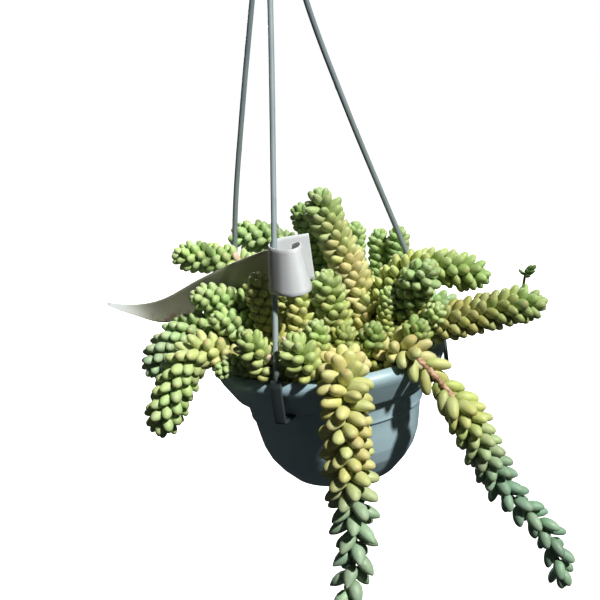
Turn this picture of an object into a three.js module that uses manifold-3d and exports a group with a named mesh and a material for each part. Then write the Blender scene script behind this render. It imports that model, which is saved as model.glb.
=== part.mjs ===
// A burro's tail plant in a hanging pot.
//
// Millimetres, +Z up, -Y towards the viewer. The origin is the inside top of the hook, where a rail
// would carry it. Everything below the hook is drawn from the plane where the pot's rim is widest, in
// a group that hangs at RIM_Z; the rim rolls over a little above that plane.

import * as THREE from 'three';
import * as BufferGeometryUtils from 'three/addons/utils/BufferGeometryUtils.js';
import Module from 'manifold-3d';

const wasm = await Module();
wasm.setup();

// ---------------------------------------------------------------- driving dimensions

const RIM_Z = -330;           // plane of the widest part of the rim, below the seat of the hook
const GAP = 0.3;              // clearance between neighbouring pieces
const WELD = 1e-4;            // corners nearer than this are one
const BAR_SIDES = 8;          // sides of the strands and the hook wire
const HOLE_SIDES = 12;
const HUB_SIDES = 18;

const WALL = 1.6;             // pot wall
const SOIL_TOP = -9.3;        // soil surface below the rim
const DRAIN_HOLE_R = 4;
const DRAIN_RING_R = 21;
const DRAIN_HOLES = 6;
const POT_SIDES = 36;
const SOIL_SIDES = 18;

const STRAND_R = 1.75;        // hanger strand
const STRAND_STEPS = 12;
const CLIP_WIDTH = 7;
const HUB_Z = 295;            // where the strands meet, above the rim

const HOOK_WIRE_R = 2.5;
const HOOK_INNER_R = 12;      // the rail that the hook takes is a little thinner than this
const HOOK_FROM = -30;        // the arc of the hook, in degrees from +X round by the top
const HOOK_TO = 190;
const HOOK_STEP = 20;
const HOOK_WIRE_STEPS = 30;
const HOOK_NECK = [0.55, -0.86];   // where the wire bends out to the arc, in radii from its centre
const HOOK_FOOT = [4, 9];     // the wire leaves the hub between these heights above HUB_Z
const HUB_R = 8;
const HUB_HEIGHT = 11;
const HUB_BELOW = 4;          // how far the hub reaches below HUB_Z
const HUB_EDGE = 1;           // its bevel
const SOCKET_DEPTH = 2.5;     // the strands' ends sit this deep in the hub

const LABEL_THICKNESS = 0.6;
const SLOT_CLEARANCE = 0.8;
const SLOT_FROM = 1;          // the slot reaches from this step past the join ...
const SLOT_TO = 6;            // ... to this one

const STEM_R = 2.2;           // bare stem of a tail, below its leaves
const TAIL_SIDES = 8;
const TAIL_STEP = 10;         // distance between the rings of a tail

// ---------------------------------------------------------------- materials

const plastic = (color, roughness) => new THREE.MeshStandardMaterial({ color, roughness, metalness: 0 });
const POT_BLUE = plastic(0x34495a, 0.38);
const STRAND_GREY = plastic(0x6f8490, 0.45);
const LABEL_WHITE = plastic(0xe6e8ea, 0.5);
const SOIL_BROWN = plastic(0x2e241b, 0.95);
const LEAF_COLOURS = {
  fresh: plastic(0x9cc07a, 0.6),
  yellow: plastic(0xc6c87a, 0.6),
  glaucous: plastic(0x86ab8c, 0.65),
};

// ---------------------------------------------------------------- solids and meshes

// A closed three.js geometry as a solid that can be joined and cut.
function toSolid(geometry) {
  const bare = geometry.clone();
  bare.deleteAttribute('normal');
  bare.deleteAttribute('uv');
  const merged = BufferGeometryUtils.mergeVertices(bare, WELD);
  return new wasm.Manifold(new wasm.Mesh({
    numProp: 3,
    vertProperties: new Float32Array(merged.attributes.position.array),
    triVerts: new Uint32Array(merged.index.array),
  }));
}

// The solid's largest piece, without the slivers that a cut can leave.
function largest(solid) {
  const pieces = solid.decompose();
  return pieces.reduce((best, piece) => (piece.volume() > best.volume() ? piece : best));
}

function toGeometry(solid) {
  const mesh = solid.getMesh();
  const geometry = new THREE.BufferGeometry();
  geometry.setAttribute('position', new THREE.BufferAttribute(mesh.vertProperties, 3));
  geometry.setIndex(new THREE.BufferAttribute(mesh.triVerts, 1));
  geometry.computeVertexNormals();
  return geometry;
}

function addPart(group, name, solid, material) {
  const mesh = new THREE.Mesh(toGeometry(solid), material);
  mesh.name = name;
  group.add(mesh);
}

// A ring or a cup: a closed profile of [radius, height] points turned round the Z axis.
function turned(profile, sides) {
  const points = profile.map(([r, z]) => new THREE.Vector2(r, z));
  const geometry = new THREE.LatheGeometry(points, sides);
  geometry.rotateX(Math.PI / 2);
  return toSolid(geometry);
}

// Moves each corner of a closed profile outwards, but never across the axis.
function grown(profile, distance) {
  const count = profile.length;
  return profile.map(([r, z], i) => {
    const before = profile[(i + count - 1) % count];
    const after = profile[(i + 1) % count];
    const normals = [[before, [r, z]], [[r, z], after]].map(([from, to]) => {
      const edge = new THREE.Vector2(to[0] - from[0], to[1] - from[1]).normalize();
      return new THREE.Vector2(edge.y, -edge.x);
    });
    const corner = normals[0].clone().add(normals[1]).normalize();
    const reach = distance / Math.max(0.5, corner.dot(normals[0]));
    return [Math.max(0, r + corner.x * reach), z + corner.y * reach];
  });
}

const vectors = (points) => points.map((point) => new THREE.Vector3(...point));

// A round bar along a smooth curve through the given points.
function bar(points, radius, sides, steps) {
  const section = new THREE.Shape();
  for (let i = 0; i < sides; i += 1) {
    const a = (i * 2 * Math.PI) / sides;
    section[i ? 'lineTo' : 'moveTo'](radius * Math.cos(a), radius * Math.sin(a));
  }
  const curve = new THREE.CatmullRomCurve3(vectors(points), false, 'centripetal');
  return toSolid(new THREE.ExtrudeGeometry(section, {
    steps,
    extrudePath: curve,
  }));
}

// ---------------------------------------------------------------- pot

// [radius, height] of the outside, from the foot up and over the rolled rim.
const POT_OUTSIDE = [
  [34.8, -77.8], [37.4, -75.2], [43, -69.4], [48.6, -61.6], [52, -53.4], [53.8, -45], [55, -38],
  [55.9, -33.2], [57.4, -32], [57.4, -30], [59.6, -19.2], [61.4, -17.2], [65.4, -17.2], [66.2, -16.2],
  [73.7, -4.4], [74.8, -2], [75, 0], [74.3, 2], [72.9, 3.6], [71.2, 4.6], [69.6, 4.8],
];
// ... and of the inside, from the edge of the roll down to the floor.
const POT_INSIDE = [
  [68.8, 4.1], [69.4, 3.4], [71.6, 2.2], [72.9, 0.2], [73, -1.8], [71.7, -4.4], [64.5, -15.6],
  [60.4, -15.6], [58, -18.8], [55.8, -30.6], [54.3, -33.4], [53.4, -38.2], [52.2, -44.8],
  [50.5, -52.6], [47.3, -60.2], [41.9, -67.8], [36, -73.2],
];
const FLOOR_UNDERSIDE = -74.9;
const FOOT_INSIDE_R = 31.4;
const FOOT_DRAFT = 0.5;       // the foot's inner face widens by this much downwards

function potProfile() {
  const floor = POT_INSIDE[POT_INSIDE.length - 1][1];
  const underside = [[0, FLOOR_UNDERSIDE], [FOOT_INSIDE_R, FLOOR_UNDERSIDE]];
  const foot = [FOOT_INSIDE_R + FOOT_DRAFT, POT_OUTSIDE[0][1]];
  return [...underside, foot, ...POT_OUTSIDE, ...POT_INSIDE, [0, floor]];
}

function drainHole(angle, ringRadius) {
  const hole = new THREE.CylinderGeometry(DRAIN_HOLE_R, DRAIN_HOLE_R, 4 * WALL, HOLE_SIDES);
  hole.rotateX(Math.PI / 2);
  hole.translate(ringRadius * Math.cos(angle), ringRadius * Math.sin(angle), FLOOR_UNDERSIDE);
  return toSolid(hole);
}

function potBowl() {
  let bowl = turned(potProfile(), POT_SIDES).subtract(drainHole(0, 0));
  for (let i = 0; i < DRAIN_HOLES; i += 1) {
    bowl = bowl.subtract(drainHole((i * 2 * Math.PI) / DRAIN_HOLES, DRAIN_RING_R));
  }
  return bowl;
}

// The soil fills the pot a hair inside its wall.
function soilProfile() {
  const wall = POT_INSIDE.filter(([, z]) => z < SOIL_TOP - 1).map(([r, z]) => [r - GAP, z + GAP]);
  const below = POT_INSIDE.findIndex(([, z]) => z < SOIL_TOP);
  const [upper, lower] = POT_INSIDE.slice(below - 1, below + 1);
  const share = (upper[1] - SOIL_TOP) / (upper[1] - lower[1]);
  const topRadius = upper[0] + (lower[0] - upper[0]) * share - 2 * GAP;
  const floor = wall[wall.length - 1][1];
  return [[0, floor], ...wall.reverse(), [topRadius, SOIL_TOP], [0, SOIL_TOP]];
}

// ---------------------------------------------------------------- hanger

// The three strands: where each clips over the rim, in degrees round the pot from +X, and the points
// that its centre line passes through between the clip and the hub.
const STRANDS = [
  { name: 'hanger_strand_front', angle: -117, bow: [
    [-31.9, -62.8, 25], [-22.6, -44.7, 102], [-7.8, -15.6, 228]] },
  { name: 'hanger_strand_right', angle: 3, bow: [
    [65, 3.4, 38], [50.6, 2.8, 87], [30.5, 1.8, 158], [13.8, 0.9, 226]] },
  { name: 'hanger_strand_left', angle: 150, bow: [
    [-60.8, 34.5, 30], [-51, 27, 97], [-35.3, 18, 167], [-19.4, 9.5, 231]] },
];

// Outline of a clip, seen along the rim: a tab that hangs straight down over the rim and turns in
// under its lower edge.
const CLIP_OUTLINE = [
  [62.9, -17.6], [75.5, -17.6], [75.5, 0.4], [74.6, 3], [73.6, 7], [75.2, 7.8], [76.4, 6.8],
  [77.3, 3], [77.4, -18.4], [76.3, -19.5], [62.9, -19.5],
];
const STRAND_FOOT = [75.1, 4.6];   // the bar starts inside the top of its clip
const STRAND_HEAD = [4.2, HUB_Z - HUB_BELOW + SOCKET_DEPTH - 2.5 * GAP];   // ... and ends in the hub

function clip(angle, extra) {
  const outline = new THREE.Shape(grown(CLIP_OUTLINE, extra).map(([r, z]) => new THREE.Vector2(r, z)));
  const width = CLIP_WIDTH + 2 * extra;
  const geometry = new THREE.ExtrudeGeometry(outline, { depth: width, bevelEnabled: false });
  geometry.translate(0, 0, -width / 2);
  geometry.rotateX(Math.PI / 2);
  geometry.rotateZ(THREE.MathUtils.degToRad(angle));
  return toSolid(geometry);
}

function strandSolid({ angle, bow }, extra = 0) {
  const turn = THREE.MathUtils.degToRad(angle);
  const at = ([r, z]) => [r * Math.cos(turn), r * Math.sin(turn), z];
  const route = [at(STRAND_FOOT), ...bow, at(STRAND_HEAD)];
  return bar(route, STRAND_R + extra, BAR_SIDES, STRAND_STEPS).add(clip(angle, extra));
}

// Centre line of the hook: up out of the hub, out to the right, and over the top to the open side.
function hookRoute() {
  const arcR = HOOK_INNER_R + HOOK_WIRE_R;
  const arcZ = -RIM_Z - HOOK_INNER_R;
  const neck = [HOOK_NECK[0] * arcR, 0, arcZ + HOOK_NECK[1] * arcR];
  const route = [...HOOK_FOOT.map((height) => [0, 0, HUB_Z + height]), neck];
  for (let degrees = HOOK_FROM; degrees <= HOOK_TO; degrees += HOOK_STEP) {
    const a = THREE.MathUtils.degToRad(degrees);
    route.push([arcR * Math.cos(a), 0, arcZ + arcR * Math.sin(a)]);
  }
  return route;
}

// The hook stands on a small hub that the three strands are pushed into.
function hangerHook(strands) {
  const underside = HUB_Z - HUB_BELOW;
  const top = underside + HUB_HEIGHT;
  const hub = turned([
    [0, underside], [HUB_R - HUB_EDGE, underside], [HUB_R, underside + HUB_EDGE],
    [HUB_R, HUB_Z], [HOOK_WIRE_R + HUB_EDGE, top], [0, top],
  ], HUB_SIDES);
  let hook = hub.add(bar(hookRoute(), HOOK_WIRE_R, BAR_SIDES, HOOK_WIRE_STEPS));
  for (const strand of strands) {
    const turn = THREE.MathUtils.degToRad(strand.angle);
    const radius = STRAND_R + 2 * GAP;
    const socket = new THREE.CylinderGeometry(radius, radius, 2 * SOCKET_DEPTH, HOLE_SIDES);
    socket.rotateX(Math.PI / 2);
    socket.translate(STRAND_HEAD[0] * Math.cos(turn), STRAND_HEAD[0] * Math.sin(turn), underside);
    hook = hook.subtract(toSolid(socket)).subtract(strandSolid(strand, GAP));
  }
  return hook;
}

// ---------------------------------------------------------------- label

// The two long edges of the plastic plant label, from the square end behind the strand, round the
// strand, through the label's own slot, and out to its point on the left.
const LABEL_LOWER = [
  [-3.2, -42, 61], [-14, -43.4, 60], [-24.4, -44.8, 59.2], [-29.2, -46.8, 58.8], [-31.3, -51, 58.6],
  [-30.4, -56.4, 58.2], [-27, -61.8, 57.8], [-22.6, -66.4, 57.4], [-16.4, -69.2, 57], [-9.8, -68.2, 57.4],
  [-6, -61.4, 58.2], [-6.8, -50.6, 59], [-13, -43.3, 58.4], [-24, -34, 54.4], [-36, -13, 49.6],
  [-52, 1, 44.6], [-78, 12, 38.8], [-107, 14, 34], [-129, 13, 43], [-144, 18.6, 49.8],
];
const LABEL_UPPER = [
  [-3.4, -42, 89], [-14, -43.4, 89], [-22.4, -44.6, 88.6], [-26.2, -45.8, 87.4], [-27.8, -48.6, 86.2],
  [-26.9, -53, 85.4], [-24, -57.2, 84.6], [-20.4, -60.8, 84], [-15.8, -62.8, 83.8], [-11.4, -61.6, 84.2],
  [-8.9, -56.4, 85], [-10, -49.2, 85.6], [-14, -43.5, 84], [-24, -35.6, 82], [-36, -21.6, 78],
  [-52, -9.6, 72.4], [-78, 0.6, 62.6], [-107, 10, 50.6], [-129, 17.4, 48.6], [-145, 20.4, 51.8],
];
const LABEL_STEPS = 57;
const LABEL_JOIN = 33;              // step on the right of the loop, clear of the slot

// The stretch of the label between two steps, as a slab of even thickness. A positive extra gives the
// room it takes up.
function labelStretch(from, to, extra = 0) {
  const lower = new THREE.CatmullRomCurve3(vectors(LABEL_LOWER));
  const upper = new THREE.CatmullRomCurve3(vectors(LABEL_UPPER));
  const positions = [];
  for (let i = from; i <= to; i += 1) {
    const u = i / LABEL_STEPS;
    const low = lower.getPoint(u);
    const high = upper.getPoint(u);
    const along = lower.getTangent(u).add(upper.getTangent(u)).normalize();
    const rise = high.clone().sub(low).normalize();
    low.addScaledVector(rise, -extra);
    high.addScaledVector(rise, extra);
    const face = along.cross(rise).normalize().multiplyScalar(LABEL_THICKNESS / 2 + extra);
    for (const edge of [low, high]) {
      positions.push(...edge.clone().add(face).toArray(), ...edge.clone().sub(face).toArray());
    }
  }
  const index = [0, 2, 3, 0, 3, 1];
  const rings = to - from;
  for (let i = 0; i < rings; i += 1) {
    const [a, b] = [4 * i, 4 * (i + 1)];
    for (const [p, q] of [[0, 1], [1, 3], [3, 2], [2, 0]]) {
      index.push(a + p, a + q, b + q, a + p, b + q, b + p);
    }
  }
  const end = 4 * rings;
  index.push(end, end + 3, end + 2, end, end + 1, end + 3);
  const geometry = new THREE.BufferGeometry();
  geometry.setAttribute('position', new THREE.Float32BufferAttribute(positions, 3));
  geometry.setIndex(index);
  return toSolid(geometry);
}

function plantLabel() {
  const passing = labelStretch(LABEL_JOIN + SLOT_FROM, LABEL_JOIN + SLOT_TO, SLOT_CLEARANCE);
  const head = labelStretch(0, LABEL_JOIN).subtract(passing);
  return head.add(labelStretch(LABEL_JOIN, LABEL_STEPS));
}

// ---------------------------------------------------------------- tails

// Each tail: the points that its centre line passes through, from just inside the soil to its tip, the
// radius of its leafy part, and how far along it the leaves begin. A tail lower in the list gives way
// to those above it where their leaves press together, and each ends flat on the soil.
const TAILS = [
  { name: 'tail_front_trailing', girth: 12.5, bare: 22, colour: 'yellow', route: [
    [8, -34, -11], [7, -60, 7], [6, -80, 6], [5, -91, -5], [3, -91, -23], [2, -90, -44], [2, -89, -68],
    [0, -89, -91], [-3, -90, -106], [-7, -91, -120], [-12, -93, -143]] },
  { name: 'tail_right_trailing', girth: 10.8, bare: 20, colour: 'glaucous', route: [
    [34, -34, -11], [40, -47, 11], [50, -58, 8], [60, -64, -3], [68, -67, -15], [75, -69, -28],
    [87, -70, -60], [94, -69, -78], [104, -68, -92], [115, -67, -106], [122, -66, -124],
    [126, -65, -150]] },
  { name: 'tail_left_lower', girth: 12, bare: 20, colour: 'yellow', route: [
    [-54, -28, -11], [-64, -31, 14], [-78, -34, 23], [-90, -36, 16], [-99, -38, 3], [-107, -38, -11],
    [-114, -38, -27]] },
  { name: 'tail_left_hanging', girth: 10.5, bare: 20, colour: 'glaucous', route: [
    [-54, -10, -11], [-64, -8, 24], [-80, -9, 33], [-95, -11, 29], [-108, -13, 19], [-119, -14, 6]] },
  { name: 'tail_right_long', girth: 11, bare: 18, colour: 'yellow', route: [
    [50, -18, -11], [55, -29, 12], [69, -35, 21], [86, -37, 23], [104, -38, 26], [120, -38, 27],
    [136, -38, 26]] },
  { name: 'tail_right_upper', girth: 11, bare: 18, colour: 'glaucous', route: [
    [30, 2, -11], [37, -3, 30], [52, -10, 50], [71, -15, 54], [90, -16, 48], [106, -15, 40]] },
  { name: 'tail_right_facing', girth: 11, bare: 16, colour: 'fresh', route: [
    [42, -8, -11], [50, -16, 24], [60, -31, 48], [67, -44, 60]] },
  { name: 'tail_tall_centre', girth: 10.5, bare: 14, colour: 'yellow', route: [
    [18, -12, -11], [26, -8, 26], [22, -5, 46], [17, -2, 66], [10, 0, 86], [5, 2, 111]] },
  { name: 'tail_tall_rear', girth: 8.5, bare: 16, colour: 'fresh', route: [
    [0, 16, -11], [5, 20, 40], [0, 24, 70], [-9, 25, 100]] },
  { name: 'tail_front_left_head', girth: 10.5, bare: 12, colour: 'fresh', route: [
    [-12, -50, -11], [-14, -64, 8], [-18, -67, 21], [-23, -65, 35]] },
  { name: 'tail_left_front_head', girth: 10, bare: 12, colour: 'fresh', route: [
    [-34, -46, -11], [-38, -54, 10], [-45, -56, 26], [-50, -57, 38]] },
  { name: 'tail_centre_head', girth: 10.3, bare: 14, colour: 'fresh', route: [
    [2, -22, -11], [6, -27, 26], [4, -31, 48], [3, -35, 64]] },
  { name: 'tail_front_head_left', girth: 7.5, bare: 12, colour: 'fresh', route: [
    [-10, -42, -11], [-7, -49, 20], [-6, -52, 38]] },
  { name: 'tail_front_head_centre', girth: 7.6, bare: 12, colour: 'fresh', route: [
    [16, -48, -11], [11, -46, 16], [9, -50, 31]] },
  { name: 'tail_front_head_right', girth: 9, bare: 12, colour: 'fresh', route: [
    [26, -44, -11], [26, -46, 14], [28, -54, 31]] },
  { name: 'tail_right_front_head', girth: 10, bare: 12, colour: 'fresh', route: [
    [46, -42, -11], [49, -46, 14], [57, -58, 29]] },
  { name: 'tail_left_head_upper', girth: 8.8, bare: 14, colour: 'fresh', route: [
    [-40, 0, -11], [-44, -6, 32], [-56, -11, 46], [-70, -14, 52], [-84, -17, 54]] },
  { name: 'tail_left_head_lower', girth: 8.8, bare: 14, colour: 'fresh', route: [
    [-38, -18, -11], [-43, -24, 18], [-51, -27, 31], [-61, -29, 38], [-72, -31, 43]] },
  { name: 'tail_left_bud', girth: 6, bare: 14, colour: 'fresh', route: [
    [-49, -37, -11], [-53, -41, 12], [-62, -47, 15], [-70, -51, 9]] },
  { name: 'tail_shaded_left', girth: 8.5, bare: 14, colour: 'yellow', route: [
    [-26, -26, -11], [-35, -33, 28], [-38, -32, 50], [-39, -31, 68]] },
  { name: 'tail_shaded_centre', girth: 8.5, bare: 14, colour: 'yellow', route: [
    [-14, -22, -11], [-16, -30, 26], [-14, -26, 44], [-12, -22, 57]] },
  { name: 'tail_left_upper', girth: 10, bare: 20, colour: 'fresh', route: [
    [-24, 18, -11], [-32, 23, 44], [-48, 25, 62], [-64, 27, 69], [-80, 28, 73], [-97, 27, 76]] },
  { name: 'tail_rear_left', girth: 10.5, bare: 20, colour: 'fresh', route: [
    [-12, 38, -11], [-12, 48, 46], [-21, 58, 66], [-34, 62, 74], [-48, 65, 77], [-61, 66, 76]] },
  { name: 'tail_right_small', girth: 6, bare: 14, colour: 'fresh', route: [
    [34, -24, -11], [38, -24, 28], [42, -28, 47]] },
  { name: 'tail_right_low_head', girth: 6.5, bare: 12, colour: 'fresh', route: [
    [54, -24, -11], [58, -32, 12], [64, -44, 26], [69, -51, 37]] },
  { name: 'tail_rear_small_left', girth: 7.5, bare: 16, colour: 'fresh', route: [
    [16, 34, -11], [24, 38, 46], [29, 42, 81]] },
  { name: 'tail_rear_small_centre', girth: 7.5, bare: 16, colour: 'fresh', route: [
    [34, 36, -11], [41, 42, 38], [45, 48, 73]] },
  { name: 'tail_rear_small_right', girth: 7.5, bare: 16, colour: 'fresh', route: [
    [50, 28, -11], [54, 32, 38], [57, 37, 75]] },
  { name: 'tail_back_trailing', girth: 10.5, bare: 20, colour: 'glaucous', route: [
    [6, 52, -11], [8, 68, 12], [7, 83, 9], [5, 91, -10], [4, 91, -32], [4, 89, -56]] },
  { name: 'tail_back_left', girth: 10, bare: 18, colour: 'glaucous', route: [
    [-32, 50, -11], [-42, 60, 16], [-56, 76, 18], [-65, 87, 7], [-70, 94, -12]] },
  { name: 'tail_back_right', girth: 10, bare: 18, colour: 'glaucous', route: [
    [34, 52, -11], [44, 60, 16], [58, 72, 20], [70, 82, 12], [78, 89, -6]] },
  { name: 'tail_side_right', girth: 9.5, bare: 16, colour: 'glaucous', route: [
    [58, 14, -11], [66, 23, 15], [80, 31, 17], [92, 37, 7]] },
  { name: 'tail_side_left', girth: 9.5, bare: 18, colour: 'glaucous', route: [
    [-56, 16, -11], [-67, 19, 16], [-82, 27, 20], [-95, 33, 12], [-104, 37, -4]] },
  { name: 'tail_back_head_left', girth: 9, bare: 12, colour: 'fresh', route: [
    [-14, 54, -11], [-16, 64, 20], [-16, 72, 40]] },
  { name: 'tail_back_head_right', girth: 9, bare: 12, colour: 'fresh', route: [
    [22, 48, -11], [25, 60, 26], [26, 66, 46]] },
  { name: 'tail_inner_left', girth: 9, bare: 12, colour: 'fresh', route: [
    [-44, 14, -11], [-52, 13, 24], [-60, 10, 40]] },
  { name: 'tail_inner_rear_left', girth: 9.5, bare: 12, colour: 'fresh', route: [
    [-34, 34, -11], [-38, 42, 26], [-42, 48, 48]] },
  { name: 'tail_inner_rear', girth: 9.5, bare: 12, colour: 'fresh', route: [
    [-6, 28, -11], [-8, 34, 30], [-8, 40, 56]] },
  { name: 'tail_inner_middle_left', girth: 9, bare: 12, colour: 'yellow', route: [
    [-20, 2, -11], [-23, 4, 26], [-25, 2, 52]] },
  { name: 'tail_inner_middle', girth: 9, bare: 12, colour: 'yellow', route: [
    [-2, -4, -11], [-2, -2, 28], [2, 0, 56]] },
  { name: 'tail_inner_rear_right', girth: 9, bare: 12, colour: 'yellow', route: [
    [22, 16, -11], [28, 22, 26], [30, 24, 52]] },
  { name: 'tail_inner_right', girth: 9, bare: 12, colour: 'yellow', route: [
    [60, -6, -11], [64, -4, 14], [70, -6, 30]] },
  { name: 'tail_inner_right_rear', girth: 9, bare: 12, colour: 'fresh', route: [
    [46, 12, -11], [54, 14, 24], [60, 14, 44]] },
];

const SWELL = 14;                   // length over which a tail widens from its bare stem
const TIP_TAPER = 1.5;              // length of the rounded tip, in girths
const TIP_SHOULDER = 0.35;          // the last ring lies this far from the end, in girths
const FRAMES = 100;                 // turns of the section are worked out at this many places

function tailRadius(s, length, { girth, bare }) {
  const rise = THREE.MathUtils.smoothstep(s, bare, bare + SWELL);
  const toTip = Math.min(1, (length - s) / (TIP_TAPER * girth));
  return STEM_R + (girth * Math.sqrt(1 - (1 - toTip) ** 2) - STEM_R) * rise;
}

// A tail as a turned body bent along its route. A positive extra gives the room it takes up.
function tailSolid(tail, extra = 0) {
  const curve = new THREE.CatmullRomCurve3(vectors(tail.route), false, 'centripetal');
  const length = curve.getLength();
  const rings = Math.ceil(length / TAIL_STEP);
  const profile = [new THREE.Vector2(0, 0)];
  for (let i = 0; i < rings; i += 1) {
    const s = (i / rings) * length;
    profile.push(new THREE.Vector2(tailRadius(s, length, tail) + extra, s));
  }
  const shoulder = length - TIP_SHOULDER * tail.girth;
  profile.push(new THREE.Vector2(tailRadius(shoulder, length, tail) + extra, shoulder));
  profile.push(new THREE.Vector2(0, length + extra));

  const geometry = new THREE.LatheGeometry(profile, TAIL_SIDES);
  const frames = curve.computeFrenetFrames(FRAMES, false);
  const position = geometry.attributes.position;
  for (let i = 0; i < position.count; i += 1) {
    const u = Math.min(1, position.getY(i) / length);
    const frame = Math.round(FRAMES * u);
    const point = curve.getPointAt(u)
      .addScaledVector(frames.normals[frame], position.getX(i))
      .addScaledVector(frames.binormals[frame], -position.getZ(i))
      .addScaledVector(frames.tangents[frame], position.getY(i) - u * length);
    position.setXYZ(i, ...point.toArray());
  }
  return toSolid(geometry);
}

function near(a, b) {
  const [p, q] = [a.boundingBox(), b.boundingBox()];
  return [0, 1, 2].every((axis) => p.min[axis] < q.max[axis] && q.min[axis] < p.max[axis]);
}

// ---------------------------------------------------------------- assembly

const plant = new THREE.Group();
const belowHook = new THREE.Group();
belowHook.position.z = RIM_Z;
plant.add(belowHook);

addPart(belowHook, 'pot_bowl', potBowl(), POT_BLUE);
addPart(belowHook, 'potting_soil', turned(soilProfile(), SOIL_SIDES), SOIL_BROWN);
for (const strand of STRANDS) {
  addPart(belowHook, strand.name, strandSolid(strand), STRAND_GREY);
}
addPart(belowHook, 'hanger_hook', hangerHook(STRANDS), STRAND_GREY);
addPart(belowHook, 'plant_label', plantLabel(), LABEL_WHITE);

const taken = [
  turned(grown(potProfile(), GAP), POT_SIDES),
  turned(grown(soilProfile(), GAP), SOIL_SIDES),
  ...STRANDS.map((strand) => strandSolid(strand, GAP)),
  labelStretch(0, LABEL_JOIN, GAP),
  labelStretch(LABEL_JOIN, LABEL_STEPS, GAP),
];
for (const tail of TAILS) {
  let solid = tailSolid(tail);
  for (const other of taken) {
    if (near(solid, other)) solid = solid.subtract(other);
  }
  addPart(belowHook, tail.name, largest(solid), LEAF_COLOURS[tail.colour]);
  taken.push(tailSolid(tail, GAP));
}

export default plant;
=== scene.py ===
"""A burro's tail plant in a hanging pot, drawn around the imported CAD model.

Lengths are millimetres from the plane of the pot's rim until a mesh is made, and metres from the
hook in the scene, as in the CAD frame. +Z is up and the camera looks along +Y.
"""

import math

import bmesh
import bpy
import numpy as np
from mathutils import Matrix, Vector, noise


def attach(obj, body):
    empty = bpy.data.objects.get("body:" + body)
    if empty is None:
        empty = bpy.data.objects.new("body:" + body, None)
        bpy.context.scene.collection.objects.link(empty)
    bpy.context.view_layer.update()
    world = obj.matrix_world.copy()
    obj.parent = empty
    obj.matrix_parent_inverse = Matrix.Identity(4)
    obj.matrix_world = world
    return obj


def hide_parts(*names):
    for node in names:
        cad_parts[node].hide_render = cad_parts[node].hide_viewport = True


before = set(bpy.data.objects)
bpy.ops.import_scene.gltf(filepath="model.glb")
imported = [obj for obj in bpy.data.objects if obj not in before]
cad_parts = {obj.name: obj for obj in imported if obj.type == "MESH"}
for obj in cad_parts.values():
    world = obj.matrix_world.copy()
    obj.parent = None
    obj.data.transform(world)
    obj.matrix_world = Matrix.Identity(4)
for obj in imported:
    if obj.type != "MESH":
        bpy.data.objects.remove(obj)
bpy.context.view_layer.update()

RIM_Z = -330.0
MM = 0.001

# -------- the CAD model's own routes

POT_OUTSIDE = [
    (34.8, -77.8), (37.4, -75.2), (43, -69.4), (48.6, -61.6), (52, -53.4), (53.8, -45), (55, -38),
    (55.9, -33.2), (57.4, -32), (57.4, -30), (59.6, -19.2), (61.4, -17.2), (65.4, -17.2),
    (66.2, -16.2), (73.7, -4.4), (74.8, -2), (75, 0), (74.3, 2), (72.9, 3.6), (71.2, 4.6),
    (69.6, 4.8),
]
POT_INSIDE = [
    (68.8, 4.1), (69.4, 3.4), (71.6, 2.2), (72.9, 0.2), (73, -1.8), (71.7, -4.4), (64.5, -15.6),
    (60.4, -15.6), (58, -18.8), (55.8, -30.6), (54.3, -33.4), (53.4, -38.2), (52.2, -44.8),
    (50.5, -52.6), (47.3, -60.2), (41.9, -67.8), (36, -73.2),
]
FLOOR_UNDERSIDE = -74.9
FOOT_INSIDE_R = 31.4
SOIL_TOP = -9.3
DRAIN_HOLE_R = 4.0
DRAIN_RING_R = 21.0
DRAIN_HOLES = 6

STRAND_R = 1.75
CLIP_WIDTH = 7.0
HUB_Z = 295.0
# Every strand: the angle of its clip round the rim, how far painted shade darkens it and its clip, and its
# route.
STRANDS = {
    "strand_front": (-117, 0.0, 0.97, [(-31.9, -62.8, 25), (-22.6, -44.7, 102), (-7.8, -15.6, 228)]),
    "strand_right": (3, 0.37, 0.65, [(65, 3.4, 38), (50.6, 2.8, 87), (30.5, 1.8, 158), (13.8, 0.9, 226)]),
    "strand_left": (150, 0.3, 0.65, [(-60.8, 34.5, 30), (-51, 27, 97), (-35.3, 18, 167), (-19.4, 9.5, 231)]),
}
CLIP_OUTLINE = [
    (62.9, -17.6), (75.5, -17.6), (75.5, 0.4), (74.6, 3), (73.6, 7), (75.2, 7.8), (76.4, 6.8),
    (77.3, 3), (77.4, -18.4), (76.3, -19.5), (62.9, -19.5),
]
STRAND_FOOT = (75.1, 4.6)
STRAND_HEAD = (4.2, 292.75)
HOOK_WIRE_R = 2.5
HOOK_INNER_R = 12.0
HUB_R = 8.0

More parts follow.
